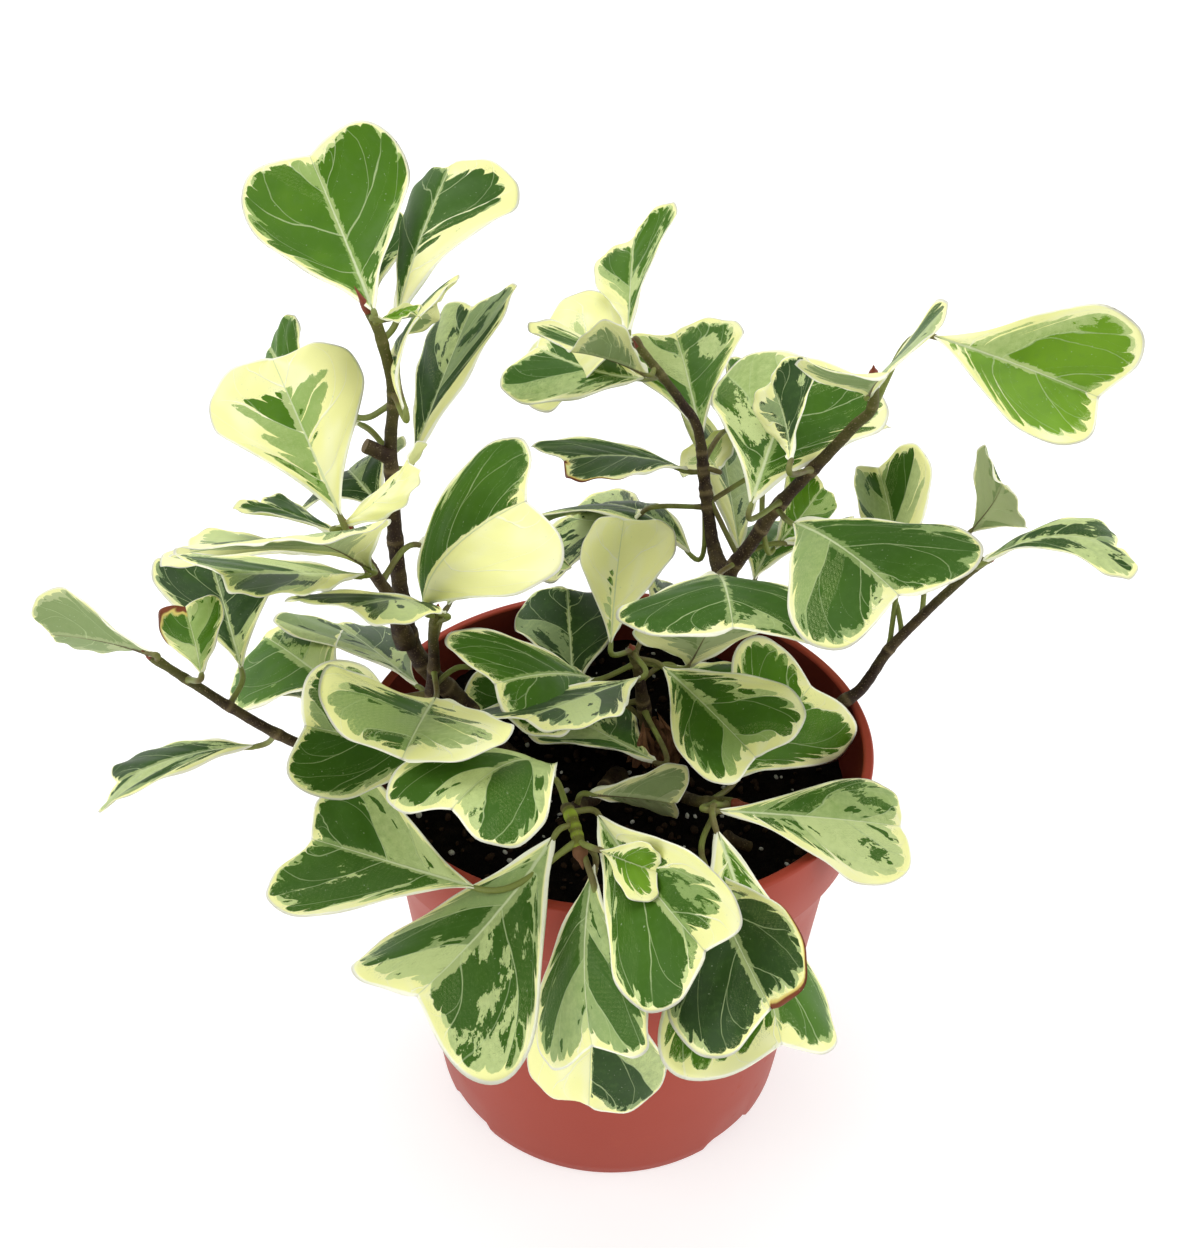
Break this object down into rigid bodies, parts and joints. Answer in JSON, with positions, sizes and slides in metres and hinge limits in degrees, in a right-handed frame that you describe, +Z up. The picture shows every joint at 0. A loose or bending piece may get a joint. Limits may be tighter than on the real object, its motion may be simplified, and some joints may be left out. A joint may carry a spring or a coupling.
{
  "type": "potted variegated triangle fig",
  "caption": "Small variegated triangle fig with notched, wedge-shaped leaves on woody stems, growing in a round tapered plastic nursery pot.",
  "frame": {"origin": "centre of the pot's flat underside, on the surface that the pot stands on", "axes": "+Z up along the pot's axis; -Y is the side that the picture shows; +X is to the right in the picture"},
  "size_m": [0.2895, 0.2261, 0.2914],
  "materials": {
    "plastic": "satin terracotta-coloured polypropylene",
    "soil": "damp peat with bark and perlite",
    "bark": "thin brown bark",
    "leaf": "semi-gloss variegated leaf"
  },
  "bodies": {
    "root": {"pot": "plastic", "soil": "soil", "left_trunk": "bark", "left_mid_bough": "bark", "far_left_bough": "bark", "left_second_stem": "bark", "centre_stem": "bark", "right_trunk": "bark", "back_bough": "bark", "right_low_bough": "bark", "front_stem": "bark", "front_right_stem": "bark", "left_crown_leaves": "leaf", "left_mid_leaves": "leaf", "far_left_leaves": "leaf", "left_low_leaves": "leaf", "centre_leaves": "leaf", "right_crown_leaves": "leaf", "back_leaves": "leaf", "right_low_leaves": "leaf", "front_leaves": "leaf", "front_right_leaves": "leaf"}
  },
  "joints": []
}
